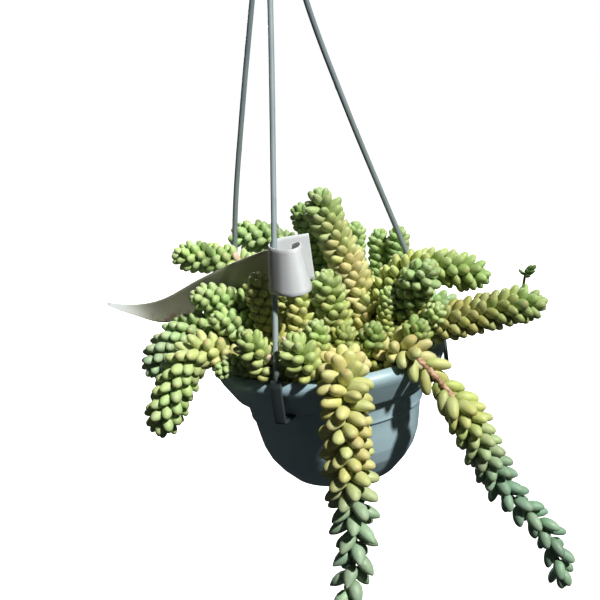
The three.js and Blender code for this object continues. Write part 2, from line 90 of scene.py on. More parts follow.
LABEL_LOWER = [
    (-3.2, -42, 61), (-14, -43.4, 60), (-24.4, -44.8, 59.2), (-29.2, -46.8, 58.8), (-31.3, -51, 58.6),
    (-30.4, -56.4, 58.2), (-27, -61.8, 57.8), (-22.6, -66.4, 57.4), (-16.4, -69.2, 57), (-9.8, -68.2, 57.4),
    (-6, -61.4, 58.2), (-6.8, -50.6, 59), (-13, -43.3, 58.4), (-24, -34, 54.4), (-36, -13, 49.6),
    (-52, 1, 44.6), (-78, 12, 38.8), (-107, 14, 34), (-129, 13, 43), (-144, 18.6, 49.8),
]
LABEL_UPPER = [
    (-3.4, -42, 89), (-14, -43.4, 89), (-22.4, -44.6, 88.6), (-26.2, -45.8, 87.4), (-27.8, -48.6, 86.2),
    (-26.9, -53, 85.4), (-24, -57.2, 84.6), (-20.4, -60.8, 84), (-15.8, -62.8, 83.8), (-11.4, -61.6, 84.2),
    (-8.9, -56.4, 85), (-10, -49.2, 85.6), (-14, -43.5, 84), (-24, -35.6, 82), (-36, -21.6, 78),
    (-52, -9.6, 72.4), (-78, 0.6, 62.6), (-107, 10, 50.6), (-129, 17.4, 48.6), (-145, 20.4, 51.8),
]
LABEL_THICKNESS = 0.6
LABEL_STEPS = 57
LABEL_JOIN = 33
SLOT_CLEARANCE = 0.8

ROOT_Z = -11                        # where every stem starts, in the soil
# Every tail: its name, the radius over its leaves, the bare length above its root, the tones of its
# leaves from root to tip, the finish that they share and the route of its stem from its root.
TAILS = [
    ("front_trailing", 16.5, 15, "straw lemon sea", "yellow", [(8, -34), (7, -60, 7), (6, -80, 6),
        (5, -91, -5), (3, -91, -23), (2, -90, -44), (2, -89, -68), (0, -89, -91), (-3, -90, -106),
        (-7, -91, -120), (-12, -93, -143)]),
    ("right_trailing", 14.6, 12, "straw lime blue", "glaucous", [(34, -34), (40, -47, 11), (50, -58, 8),
        (60, -64, -3), (68, -67, -15), (75, -69, -28), (87, -70, -60), (94, -69, -78), (104, -68, -92),
        (115, -67, -106), (122, -66, -124), (126, -65, -150)]),
    ("left_lower", 15, 14, "straw bright fresh", "yellow", [(-54, -28), (-64, -31, 14), (-78, -34, 23),
        (-90, -36, 16), (-99, -38, 3), (-107, -38, -11), (-114, -38, -27)]),
    ("left_hanging", 13.5, 8, "bright fresh sea", "glaucous", [(-54, -10), (-64, -8, 24), (-80, -9, 33),
        (-95, -11, 29), (-108, -13, 19), (-119, -14, 6)]),
    ("right_long", 14, 12, "olive moss leafy", "yellow", [(50, -18), (55, -29, 12), (69, -35, 21),
        (86, -37, 23), (104, -38, 26), (120, -38, 27), (136, -38, 26)]),
    ("right_upper", 14, 12, "lemon lime leafy", "glaucous", [(30, 2), (37, -3, 30), (52, -10, 50),
        (71, -15, 54), (90, -16, 48), (106, -15, 40)]),
    ("right_facing", 14, 8, "olive leafy fresh", "fresh", [(42, -8), (50, -16, 24), (60, -31, 48),
        (67, -44, 60)]),
    ("tall_centre", 14, 8, "lemon straw leafy", "yellow", [(18, -12), (26, -8, 26), (22, -5, 46),
        (17, -2, 66), (10, 0, 86), (5, 2, 111)]),
    ("tall_rear", 10.5, 12, "olive deep leafy", "fresh", [(0, 16), (5, 20, 40), (0, 24, 70),
        (-9, 25, 100)]),
    ("front_left_head", 14, 1, "tan lime fresh", "fresh", [(-12, -50), (-14, -64, 8), (-18, -67, 21),
        (-23, -65, 35)]),
    ("left_front_head", 13, 1, "lemon lime fresh", "fresh", [(-34, -46), (-38, -54, 10), (-45, -56, 26),
        (-50, -57, 38)]),
    ("centre_head", 13, 8, "olive lime fresh", "fresh", [(2, -22), (6, -27, 26), (4, -31, 48),
        (3, -35, 64)]),
    ("front_head_left", 10.2, 1, "lemon lime fresh", "fresh", [(-10, -42), (-7, -49, 20), (-6, -52, 38)]),
    ("front_head_centre", 10.4, 1, "olive grass grass", "fresh", [(16, -48), (11, -46, 16), (9, -50, 31)]),
    ("front_head_right", 12, 1, "olive grass leafy", "fresh", [(26, -44), (26, -46, 14), (28, -54, 31)]),
    ("right_front_head", 13, 1, "olive grass leafy", "fresh", [(46, -42), (49, -46, 14), (57, -58, 29)]),
    ("left_head_upper", 11, 8, "lime fresh bright", "fresh", [(-40, 0), (-44, -6, 32), (-56, -11, 46),
        (-70, -14, 52), (-84, -17, 54)]),
    ("left_head_lower", 11, 8, "lemon fresh bright", "fresh", [(-38, -18), (-43, -24, 18), (-51, -27, 31),
        (-61, -29, 38), (-72, -31, 43)]),
    ("left_bud", 8, 12, "lime fresh bright", "fresh", [(-49, -37), (-53, -41, 12), (-62, -47, 15),
        (-70, -51, 9)]),
    ("shaded_left", 11, 8, "olive lemon lime", "yellow", [(-26, -26), (-35, -33, 28), (-38, -32, 50),
        (-39, -31, 68)]),
    ("shaded_centre", 11, 8, "olive lemon lime", "yellow", [(-14, -22), (-16, -30, 26), (-14, -26, 44),
        (-12, -22, 57)]),
    ("left_upper", 12.5, 14, "lime fresh bright", "fresh", [(-24, 18), (-32, 23, 44), (-48, 25, 62),
        (-64, 27, 69), (-80, 28, 73), (-97, 27, 76)]),
    ("rear_left", 13.5, 14, "lime leafy fresh", "fresh", [(-12, 38), (-12, 48, 46), (-21, 58, 66),
        (-34, 62, 74), (-48, 65, 77), (-61, 66, 76)]),
    ("right_small", 7.5, 8, "olive lime bright", "fresh", [(34, -24), (38, -24, 28), (42, -28, 47)]),
    ("right_low_head", 8.5, 1, "olive lime bright", "fresh", [(54, -24), (58, -32, 12), (64, -44, 26),
        (69, -51, 37)]),
    ("rear_small_left", 9.5, 10, "olive leafy fresh", "fresh", [(16, 34), (24, 38, 46), (29, 42, 81)]),
    ("rear_small_centre", 9.5, 10, "olive leafy fresh", "fresh", [(34, 36), (41, 42, 38), (45, 48, 73)]),
    ("rear_small_right", 9.5, 10, "olive leafy fresh", "fresh", [(50, 28), (54, 32, 38), (57, 37, 75)]),
    ("back_trailing", 13.5, 14, "lime fresh sea", "glaucous", [(6, 52), (8, 68, 12), (7, 83, 9),
        (5, 91, -10), (4, 91, -32), (4, 89, -56)]),
    ("back_left", 13, 12, "lime leafy sea", "glaucous", [(-32, 50), (-42, 60, 16), (-56, 76, 18),
        (-65, 87, 7), (-70, 94, -12)]),
    ("back_right", 13, 12, "lime leafy sea", "glaucous", [(34, 52), (44, 60, 16), (58, 72, 20),
        (70, 82, 12), (78, 89, -6)]),
    ("side_right", 12.5, 10, "lime leafy sea", "glaucous", [(58, 14), (66, 23, 15), (80, 31, 17),
        (92, 37, 7)]),
    ("side_left", 12.5, 12, "lime fresh sea", "glaucous", [(-56, 16), (-67, 19, 16), (-82, 27, 20),
        (-95, 33, 12), (-104, 37, -4)]),
    ("back_head_left", 11.5, 6, "lime leafy fresh", "fresh", [(-14, 54), (-16, 64, 20), (-16, 72, 40)]),
    ("back_head_right", 11.5, 6, "lime leafy fresh", "fresh", [(22, 48), (25, 60, 26), (26, 66, 46)]),
    ("inner_left", 11.5, 6, "olive lime fresh", "fresh", [(-44, 14), (-52, 13, 24), (-60, 10, 40)]),
    ("inner_rear_left", 12, 6, "olive lime fresh", "fresh", [(-34, 34), (-38, 42, 26), (-42, 48, 48)]),
    ("inner_rear", 12, 6, "olive lime fresh", "fresh", [(-6, 28), (-8, 34, 30), (-8, 40, 56)]),
    ("inner_middle_left", 11.5, 6, "olive lemon lime", "yellow", [(-20, 2), (-23, 4, 26), (-25, 2, 52)]),
    ("inner_middle", 11.5, 6, "olive lemon lime", "yellow", [(-2, -4), (-2, -2, 28), (2, 0, 56)]),
    ("inner_rear_right", 11.5, 6, "olive lemon lime", "yellow", [(22, 16), (28, 22, 26), (30, 24, 52)]),
    ("inner_right", 11.5, 6, "olive lemon lime", "yellow", [(60, -6), (64, -4, 14), (70, -6, 30)]),
    ("inner_right_rear", 11.5, 6, "olive lime fresh", "fresh", [(46, 12), (54, 14, 24), (60, 14, 44)]),
]

# -------- looks that are chosen

TONES = {
    "straw": (214, 208, 148), "lemon": (202, 203, 130), "lime": (190, 201, 124), "fresh": (177, 202, 138),
    "bright": (186, 212, 142), "leafy": (152, 182, 116), "deep": (112, 144, 80), "sea": (152, 180, 150),
    "blue": (132, 165, 142), "olive": (164, 167, 90), "moss": (172, 172, 104), "grass": (152, 166, 78),
    "tan": (210, 192, 142),
}
DRIED = (226, 200, 182)
GOLDEN_ANGLE = math.pi * (3 - math.sqrt(5))


def linear(rgb):
    """An 8-bit colour as linear light."""
    c = np.asarray(rgb, float) / 255
    return np.where(c <= 0.04045, c / 12.92, ((c + 0.055) / 1.055) ** 2.4)


def smooth(x):
    """A soft step from 0 to 1."""
    x = np.clip(x, 0, 1)
    return x * x * (3 - 2 * x)


def unit(v):
    return v / np.maximum(np.linalg.norm(v, axis=-1, keepdims=True), 1e-12)


def polar(r, angle, z):
    return r * math.cos(angle), r * math.sin(angle), z


def ring_angles(sides):
    return np.arange(sides) * 2 * math.pi / sides


# -------- curves

def catmull_rom(points, u):
    """The centripetal Catmull-Rom curve through points, at shares u of its count of spans."""
    p = np.asarray(points, float)
    p = np.vstack([2 * p[0] - p[1], p, 2 * p[-1] - p[-2]])
    spans = len(p) - 3
    x = np.clip(np.asarray(u, float), 0, 1) * spans
    k = np.minimum(x.astype(int), spans - 1)
    w = (x - k)[:, None]
    a, b, c, d = (p[k + i] for i in range(4))
    da, db, dc = (np.linalg.norm(q - r, axis=1)[:, None] ** 0.5 for q, r in ((b, a), (c, b), (d, c)))
    t1 = ((b - a) / da - (c - a) / (da + db) + (c - b) / db) * db
    t2 = ((c - b) / db - (d - b) / (db + dc) + (d - c) / dc) * db
    return b + w * (t1 + w * ((-3 * b + 3 * c - 2 * t1 - t2) + w * (2 * b - 2 * c + t1 + t2)))


POINTS_PER_SPAN = 20


class Path:
    """A smooth route by its length, with a frame that turns as little as it can."""

    def __init__(self, points, start=(0.0, 0.0, 1.0)):
        self.p = catmull_rom(points, np.linspace(0, 1, POINTS_PER_SPAN * (len(points) - 1) + 1))
        step = np.linalg.norm(np.diff(self.p, axis=0), axis=1)
        self.s = np.concatenate([[0], np.cumsum(step)])
        self.length = self.s[-1]
        self.t = unit(np.gradient(self.p, axis=0))
        side = np.array(start)
        if abs(self.t[0] @ side) > 0.9:
            side = np.array((0.0, -1.0, 0.0))
        normals = []
        for t in self.t:
            side = unit(side - t * (side @ t))
            normals.append(side)
        self.n = np.array(normals)

    def at(self, s):
        s = np.atleast_1d(s)
        p, t, n = (np.stack([np.interp(s, self.s, a[:, i]) for i in range(3)], 1)
                   for a in (self.p, self.t, self.n))
        t = unit(t)
        n = unit(n - t * np.sum(n * t, axis=1, keepdims=True))
        over = np.maximum(s - self.length, 0)[:, None]
        return p + t * over, t, n, np.cross(t, n)


# -------- meshes

def add_object(name, data):
    obj = bpy.data.objects.new(name, data)
    bpy.context.scene.collection.objects.link(obj)
    return obj


def new_piece(name, verts, faces, materials, face_material=None):
    """A smooth-shaded object from points in millimetres above the rim."""
    mesh = bpy.data.meshes.new(name)
    co = (np.asarray(verts, float) + (0, 0, RIM_Z)) * MM
    mesh.from_pydata(co.tolist(), [], [list(map(int, f)) for f in faces])
    for material in materials:
        mesh.materials.append(material)
    if face_material is not None:
        mesh.polygons.foreach_set("material_index", np.asarray(face_material, np.int32))
    mesh.polygons.foreach_set("use_smooth", np.ones(len(mesh.polygons), bool))
    mesh.update()
    return add_object(name, mesh)


def paint(mesh, name, values):
    """A value or a colour on each point of a mesh."""
    values = np.asarray(values, np.float32)
    if values.ndim == 1:
        mesh.attributes.new(name, "FLOAT", "POINT").data.foreach_set("value", values)
    else:
        colours = np.hstack([values, np.ones((len(values), 1), np.float32)])
        mesh.attributes.new(name, "FLOAT_COLOR", "POINT").data.foreach_set("color", colours.ravel())


def bands(rings, sides):
    """The faces between each ring of points and the next."""
    faces = []
    for i in range(rings - 1):
        for j in range(sides):
            k = (j + 1) % sides
            faces.append((i * sides + j, i * sides + k, (i + 1) * sides + k, (i + 1) * sides + j))
    return faces


def fan(first, sides, pole, turned=False):
    """The faces between one ring of points and a pole."""
    ring = [(first + j, first + (j + 1) % sides) for j in range(sides)]
    return [(b, a, pole) if turned else (a, b, pole) for a, b in ring]


def joined(*parts):
    """Several lots of points and faces as one."""
    verts, faces = np.zeros((0, 3)), []
    for points, its_faces in parts:
        faces += [[len(verts) + i for i in face] for face in its_faces]
        verts = np.vstack([verts, points])
    return verts, faces


def taken_from(bm):
    """The points and faces of a bmesh, which is then let go."""
    bm.verts.index_update()
    verts = np.array([v.co[:] for v in bm.verts])
    faces = [[v.index for v in f.verts] for f in bm.faces]
    bm.free()
    return verts, faces


END_DOME = 0.45                     # how far a bar's end bulges, by its radius


def tube(path, stations, radii):
    """Points and faces of a round bar along a path, with a radius for every corner of each ring."""
    rings, sides = radii.shape
    p, t, n, b = path.at(stations)
    a = ring_angles(sides)
    ring = np.cos(a)[None, :, None] * n[:, None] + np.sin(a)[None, :, None] * b[:, None]
    verts = (p[:, None] + ring * radii[:, :, None]).reshape(-1, 3)
    ends = [p[i] + t[i] * dome * radii[i].mean() for i, dome in ((0, -END_DOME), (-1, END_DOME))]
    faces = bands(rings, sides) + fan(0, sides, len(verts), turned=True)
    return np.vstack([verts, ends]), faces + fan(len(verts) - sides, sides, len(verts) + 1)


def rounded(profile, reach, steps=3, closed=False):
    """A profile with each corner turned into a small arc."""
    p = np.asarray(profile, float)
    out = []
    for i, corner in enumerate(p):
        if not closed and i in (0, len(p) - 1):
            out.append(corner)
            continue
        before, after = p[i - 1], p[(i + 1) % len(p)]
        r = min(reach, 0.42 * np.linalg.norm(before - corner), 0.42 * np.linalg.norm(after - corner))
        a = corner + unit(before - corner) * r
        c = corner + unit(after - corner) * r
        for w in np.linspace(0, 1, steps):
            out.append((1 - w) ** 2 * a + 2 * w * (1 - w) * corner + w * w * c)
    return np.array(out)


def lathe(profile, sides):
    """Points and faces of a profile that starts and ends on the axis, turned round it."""
    a = ring_angles(sides)
    inner = profile[1:-1]
    verts = np.stack([inner[:, None, 0] * np.cos(a), inner[:, None, 0] * np.sin(a),
                      np.repeat(inner[:, 1:2], sides, 1)], 2).reshape(-1, 3)
    poles = [(0, 0, profile[0][1]), (0, 0, profile[-1][1])]
    faces = bands(len(inner), sides) + fan(0, sides, len(verts), turned=True)
    return np.vstack([verts, poles]), faces + fan(len(verts) - sides, sides, len(verts) + 1)


def cut(obj, tool):
    """Takes one solid away from another, for good."""
    modifier = obj.modifiers.new("cut", "BOOLEAN")
    modifier.operation = "DIFFERENCE"
    modifier.solver = "EXACT"
    modifier.object = tool
    graph = bpy.context.evaluated_depsgraph_get()
    graph.update()
    done = bpy.data.meshes.new_from_object(obj.evaluated_get(graph))
    obj.modifiers.clear()
    obj.data = done
    bpy.data.objects.remove(tool)


def stand(obj, node):
    """The piece belongs to the plant and stands for the CAD node."""
    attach(obj, "root")
    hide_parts(node)


# -------- camera, light and floor

CAMERA_AT = (0.0, -0.626678, 0.172553 + RIM_Z * MM)
CAMERA_RIGHT = (0.99104791, -0.00452562, -0.13343001)
CAMERA_UP = (0.13144376, 0.20809096, 0.96923717)
CAMERA_AHEAD = (-0.02337918, 0.97809901, -0.20682298)
LENS = 58.783

LENS_SENSOR = 36
KEY_TOWARDS = (0.525, -0.525, 0.669)
KEY_STRENGTH = 5.0
KEY_DEGREES = 4
KEY_COLOUR = (1.0, 0.975, 0.93)
# Each soft light: its direction from the rim, its distance and width in metres, its watts and colour.
SOFT_LIGHTS = {
    "fill": ((-0.85, -0.55, 0.25), 2.4, 1.8, 0.4, (0.93, 0.96, 1.0)),
    "back": ((-0.2, 0.95, 0.45), 2.6, 1.6, 70, (0.97, 0.98, 1.0)),
}
SKY_COLOUR = (0.93, 0.96, 1.0, 1)
SKY_STRENGTH = 0.05
GAMMA = 0.92
FLOOR_Z = -0.72
FLOOR_R = 24


def make_camera():
    camera = add_object("camera", bpy.data.cameras.new("camera"))
    camera.data.sensor_width = LENS_SENSOR
    camera.data.lens = LENS
    camera.data.clip_start = 0.02
    camera.data.clip_end = 60
    axes = Matrix((CAMERA_RIGHT, CAMERA_UP, tuple(-x for x in CAMERA_AHEAD))).transposed()
    camera.matrix_world = Matrix.Translation(CAMERA_AT) @ axes.to_4x4()
    bpy.context.scene.camera = camera


def make_light(name, kind, direction, strength, colour):
    light = add_object(name, bpy.data.lights.new(name, kind))
    light.data.energy = strength
    light.data.color = colour
    light.rotation_euler = Vector(direction).to_track_quat("Z", "Y").to_euler()
    return light


def make_lights():
    key = make_light("key", "SUN", KEY_TOWARDS, KEY_STRENGTH, KEY_COLOUR)
    key.data.angle = math.radians(KEY_DEGREES)
    for name, (direction, distance, width, watts, colour) in SOFT_LIGHTS.items():
        light = make_light(name, "AREA", direction, watts, colour)
        light.data.shape = "DISK"
        light.data.size = width
        light.location = Vector((0, 0, RIM_Z * MM)) + Vector(direction).normalized() * distance


def make_world():
    """A dim sky for the light, and plain white where the camera sees past the floor."""
    world = bpy.data.worlds.new("studio")
    bpy.context.scene.world = world
    world.use_nodes = True
    nodes, links = world.node_tree.nodes, world.node_tree.links
    sky, white = nodes["Background"], nodes.new("ShaderNodeBackground")
    sky.inputs["Color"].default_value = SKY_COLOUR
    sky.inputs["Strength"].default_value = SKY_STRENGTH
    white.inputs["Color"].default_value = (1.0, 1.0, 1.0, 1)
    seen, blend = nodes.new("ShaderNodeLightPath"), nodes.new("ShaderNodeMixShader")
    links.new(seen.outputs["Is Camera Ray"], blend.inputs["Fac"])
    links.new(sky.outputs["Background"], blend.inputs[1])
    links.new(white.outputs["Background"], blend.inputs[2])
    links.new(blend.outputs["Shader"], nodes["World Output"].inputs["Surface"])
    bpy.context.scene.view_settings.view_transform = "Standard"
    bpy.context.scene.view_settings.gamma = GAMMA


def make_floor():
    mesh = bpy.data.meshes.new("floor")
    bm = bmesh.new()
    bmesh.ops.create_circle(bm, cap_ends=True, segments=96, radius=FLOOR_R)
    bm.to_mesh(mesh)
    bm.free()
    mesh.materials.append(floor_look())
    floor = add_object("floor", mesh)
    floor.location = (0, 0, FLOOR_Z)
    floor.visible_diffuse = False
    floor.visible_glossy = False


# -------- materials

class Look:
    """A node material under construction."""

    def __init__(self, name, **sockets):
        self.material = bpy.data.materials.new(name)
        self.material.use_nodes = True
        self.tree = self.material.node_tree
        self.shader = self.tree.nodes["Principled BSDF"]
        for key, value in sockets.items():
            self.shader.inputs[key.replace("_", " ")].default_value = value
        self.place = self.add("ShaderNodeTexCoord").outputs["Object"]

    def add(self, kind, **values):
        node = self.tree.nodes.new(kind)
        for key, value in values.items():
            setattr(node, key, value)
        return node

    def link(self, source, target):
        self.tree.links.new(source, target)

    def wire(self, source, key):
        self.link(source, self.shader.inputs[key])

    def noise(self, scale, detail=3.0, rough=0.55, stretch=None):
        node = self.add("ShaderNodeTexNoise")
        node.inputs["Scale"].default_value = scale
        node.inputs["Detail"].default_value = detail
        node.inputs["Roughness"].default_value = rough
        place = self.place
        if stretch:
            mapping = self.add("ShaderNodeMapping")
            mapping.inputs["Scale"].default_value = stretch
            self.link(place, mapping.inputs["Vector"])
            place = mapping.outputs["Vector"]
        self.link(place, node.inputs["Vector"])
        return node.outputs["Fac"]

    def spread(self, value, low, high, to_low=0.0, to_high=1.0):
        """Maps low..high of a value onto to_low..to_high, smoothly."""
        node = self.add("ShaderNodeMapRange", interpolation_type="SMOOTHSTEP")
        self.link(value, node.inputs["Value"])
        for key, number in {"From Min": low, "From Max": high, "To Min": to_low, "To Max": to_high}.items():
            node.inputs[key].default_value = number
        return node.outputs["Result"]

    def times(self, a, b):
        node = self.add("ShaderNodeMath", operation="MULTIPLY")
        self.link(a, node.inputs[0])
        if isinstance(b, float):
            node.inputs[1].default_value = b
        else:
            self.link(b, node.inputs[1])
        return node.outputs[0]

    def mix(self, share, a, b, blend="MIX"):
        """Colour a, with b laid over it by share. Each may be a socket or a colour."""
        node = self.add("ShaderNodeMix", data_type="RGBA", blend_type=blend)
        for value, key in ((share, 0), (a, 6), (b, 7)):
            if isinstance(value, bpy.types.NodeSocket):
                self.link(value, node.inputs[key])
            elif key:
                node.inputs[key].default_value = (*value, 1)
            else:
                node.inputs[key].default_value = value
        return node.outputs[2]

    def patches(self, value, low, high, share, under, over):
        """The colour over, laid on the colour under by share where the value is high."""
        return self.mix(self.times(self.spread(value, low, high), share), under, over)

    def attribute(self, name, output):
        return self.add("ShaderNodeAttribute", attribute_name=name).outputs[output]

    def finished(self, colour, gloss, relief):
        """The material with its colour, roughness (what spread takes) and bump (value, strength, depth)."""
        self.wire(colour, "Base Color")
        if gloss:
            self.wire(self.spread(*gloss), "Roughness")
        if relief:
            node = self.add("ShaderNodeBump")
            self.link(relief[0], node.inputs["Height"])
            node.inputs["Strength"].default_value, node.inputs["Distance"].default_value = relief[1:]
            self.wire(node.outputs["Normal"], "Normal")
        return self.material


def floor_look():
    look = Look("studio_floor", Roughness=0.9, Emission_Color=(1, 1, 1, 1), Emission_Strength=0.15)
    grain = look.spread(look.noise(1.3, 2.0), 0.3, 0.7)
    return look.finished(look.mix(grain, (0.90, 0.90, 0.895), (0.92, 0.92, 0.915)), None, None)


def leaf_look():
    """Plump waxy leaves: each with its own tone, paler with bloom, rubbed greener in places, and darker
    towards the root with painted shade.
    """
    look = Look("leaf_skin", Roughness=0.55, Subsurface_Weight=0.14, Subsurface_Scale=0.003,
                Subsurface_Radius=(0.7, 1.0, 0.35), Sheen_Weight=0.06, Sheen_Roughness=0.45)
    tint = look.attribute("tint", "Color")
    along = look.attribute("along", "Fac")
    mottle = look.noise(260.0, 4.0, 0.62)
    cloud = look.noise(70.0, 2.0, 0.5)
    speck = look.noise(900.0, 2.0, 0.5)
    # deep: the tint made darker and greener. It is painted shade towards each leaf's root, between the
    # leaves, and it is the real green of rubbed patches where the bloom is worn off.
    deep = look.mix(1.0, tint, (0.62, 0.78, 0.42), "MULTIPLY")
    base = look.mix(look.spread(along, 0.02, 0.45, 0.55, 0.0), tint, deep)
    rubbed = look.patches(mottle, 0.52, 0.74, 0.5, base, deep)
    bloom = look.patches(cloud, 0.42, 0.72, 0.22, rubbed, (0.62, 0.70, 0.50))
    tip = look.patches(along, 0.93, 1.0, look.attribute("blush", "Fac"), bloom, (0.36, 0.15, 0.07))
    freckled = look.patches(speck, 0.70, 0.78, 0.25, tip, (0.30, 0.26, 0.08))
    return look.finished(freckled, (mottle, 0.3, 0.7, 0.62, 0.44), (mottle, 0.10, 0.0004))


def stem_look():
    """Stems: smooth when young, with corky streaks and scars where leaves have dropped."""
    look = Look("stem_skin", Roughness=0.6, Subsurface_Weight=0.1, Subsurface_Scale=0.002)
    tint = look.attribute("tint", "Color")
    streak = look.noise(420.0, 4.0, 0.65)
    cork = look.mix(1.0, tint, (0.42, 0.30, 0.24), "MULTIPLY")
    corky = look.patches(streak, 0.44, 0.60, 0.8, tint, cork)
    return look.finished(corky, (streak, 0.3, 0.7, 0.5, 0.75), (streak, 0.5, 0.0005))


def pot_look():
    """Dark slate-blue moulded plastic, scuffed and a little dusty with dried water marks."""
    look = Look("pot_plastic", Roughness=0.34, Specular_IOR_Level=0.6)
    wash = look.noise(16.0, 4.0, 0.6)
    dust = look.noise(120.0, 5.0, 0.7)
    speck = look.noise(430.0, 3.0, 0.6)
    base = look.mix(look.spread(wash, 0.3, 0.7), (0.325, 0.465, 0.530), (0.385, 0.530, 0.590))
    dusty = look.patches(dust, 0.55, 0.80, 0.35, base, (0.50, 0.56, 0.56))
    dotted = look.patches(speck, 0.74, 0.80, 0.7, dusty, (0.50, 0.50, 0.46))
    grain = look.noise(1500.0, 2.0, 0.5)
    return look.finished(dotted, (dust, 0.35, 0.75, 0.28, 0.50), (grain, 0.12, 0.0002))


def strand_look():
    """The hanger's plastic: the pot's colour, paler and chalkier, with painted shade darkening the side
    strands and the clips.
    """
    look = Look("hanger_plastic", Roughness=0.42)
    wash = look.noise(28.0, 3.0, 0.6)
    scuff = look.noise(160.0, 4.0, 0.65, (1.0, 1.0, 0.22))
    base = look.mix(look.spread(wash, 0.3, 0.7), (0.290, 0.365, 0.395), (0.360, 0.440, 0.465))
    scuffed = look.patches(scuff, 0.56, 0.74, 0.5, base, (0.44, 0.50, 0.52))
    # Painted shade: the side strands and the clips are mixed towards a near-black blue, as if they lay in
    # shade.
    painted_shade = look.mix(look.attribute("painted_shade", "Fac"), scuffed, (0.036, 0.050, 0.055))
    return look.finished(painted_shade, (scuff, 0.3, 0.7, 0.36, 0.55), (scuff, 0.25, 0.0003))


def label_look():
    """White label plastic: painted shade on its tail, soiled towards its end."""
    look = Look("label_plastic", Roughness=0.42, Subsurface_Weight=0.12, Subsurface_Scale=0.002)
    cloud = look.noise(55.0, 4.0, 0.6)
    grime = look.noise(150.0, 5.0, 0.72)
    clean = look.mix(look.spread(cloud, 0.35, 0.7), (0.62, 0.66, 0.69), (0.58, 0.62, 0.64))
    # Painted shade: the tail is greyed towards olive, as in shade with green light thrown back from the
    # leaves, less so at its tip.
    base = look.mix(look.attribute("tail_shade", "Fac"), clean, (0.30, 0.315, 0.225))
    soiled = look.patches(grime, 0.44, 0.58, look.attribute("soiled", "Fac"), base, (0.20, 0.15, 0.11))
    grain = look.noise(1300.0, 2.0, 0.5)
    return look.finished(soiled, (cloud, 0.3, 0.7, 0.38, 0.5), (grain, 0.08, 0.0002))


def soil_look():
    """Dark crumbs with paler fibres."""
    look = Look("potting_soil", Roughness=0.95)
    crumb = look.noise(330.0, 6.0, 0.7)
    fibre = look.noise(90.0, 4.0, 0.6, (1.0, 3.0, 1.0))
    base = look.mix(look.spread(crumb, 0.35, 0.65), (0.013, 0.009, 0.006), (0.060, 0.040, 0.024))
    fibrous = look.patches(fibre, 0.62, 0.75, 0.6, base, (0.12, 0.085, 0.05))
    return look.finished(fibrous, None, (crumb, 0.9, 0.0012))


LEAF_SKIN = leaf_look()
STEM_SKIN = stem_look()
POT_PLASTIC = pot_look()
HANGER_PLASTIC = strand_look()
LABEL_PLASTIC = label_look()
SOIL = soil_look()

# -------- pot and soil

POT_SEGMENTS = 144
EDGE_ROUND = 0.55
SOIL_SEGMENTS = 96
SOIL_GAP = 0.3                      # between the soil and the wall
SOIL_R = 67.6                       # where the soil's top meets the wall
CRUMBS = 150


def pot_profile():
    floor_top = POT_INSIDE[-1][1]
    foot = [(0, FLOOR_UNDERSIDE), (FOOT_INSIDE_R, FLOOR_UNDERSIDE), (FOOT_INSIDE_R + 0.5, POT_OUTSIDE[0][1])]
    return foot + POT_OUTSIDE + POT_INSIDE + [(0, floor_top)]


def drain_hole(r, angle):
    mesh = bpy.data.meshes.new("hole")
    bm = bmesh.new()
    bmesh.ops.create_cone(bm, cap_ends=True, segments=24, radius1=DRAIN_HOLE_R * MM,
                          radius2=DRAIN_HOLE_R * MM, depth=8 * MM)
    bmesh.ops.translate(bm, verts=bm.verts, vec=Vector(polar(r, angle, FLOOR_UNDERSIDE + RIM_Z)) * MM)
    bm.to_mesh(mesh)
    bm.free()
    return add_object("hole", mesh)


def make_pot():
    verts, faces = lathe(rounded(pot_profile(), EDGE_ROUND), POT_SEGMENTS)
    pot = new_piece("pot", verts, faces, [POT_PLASTIC])
    cut(pot, drain_hole(0, 0))
    for i in range(DRAIN_HOLES):
        cut(pot, drain_hole(DRAIN_RING_R, 2 * math.pi * i / DRAIN_HOLES))
    stand(pot, "pot_bowl")


def crumbs():
    """Loose lumps on the soil, half sunk in it."""
    rng = np.random.default_rng(5)
    bm = bmesh.new()
    for _ in range(CRUMBS):
        size = rng.uniform(0.7, 2.0)
        r, a = 65 * math.sqrt(rng.random()), rng.uniform(0, 2 * math.pi)
        turn = Matrix.Rotation(rng.uniform(0, 6), 4, Vector(rng.normal(size=3)).normalized())
        shape = Matrix.Diagonal((*(size * rng.uniform(0.6, 1.3, 3)), 1))
        place = Matrix.Translation(polar(r, a, SOIL_TOP + 0.3 * size))
        bmesh.ops.create_icosphere(bm, subdivisions=1, radius=1, matrix=place @ turn @ shape)
    return taken_from(bm)


def make_soil():
    wall = [(r - SOIL_GAP, z + SOIL_GAP) for r, z in POT_INSIDE if z < SOIL_TOP - 1][::-1]
    top = [(r, SOIL_TOP) for r in np.linspace(SOIL_R, 3, 40)]
    verts, faces = lathe(np.array([(0, wall[0][1])] + wall + top + [(0, SOIL_TOP)]), SOIL_SEGMENTS)
    for v in verts:
        if v[2] > SOIL_TOP - 0.5:
            inward = smooth((SOIL_R - math.hypot(v[0], v[1])) / 6)
            lump = noise.fractal(Vector(v) * 0.11, 0.9, 2.1, 4) + 0.6 * noise.noise(Vector(v) * 0.7)
            v[2] += float(inward) * (1.1 * lump - 0.4)
    stand(new_piece("soil", *joined((verts, faces), crumbs()), [SOIL]), "potting_soil")


# -------- hanger

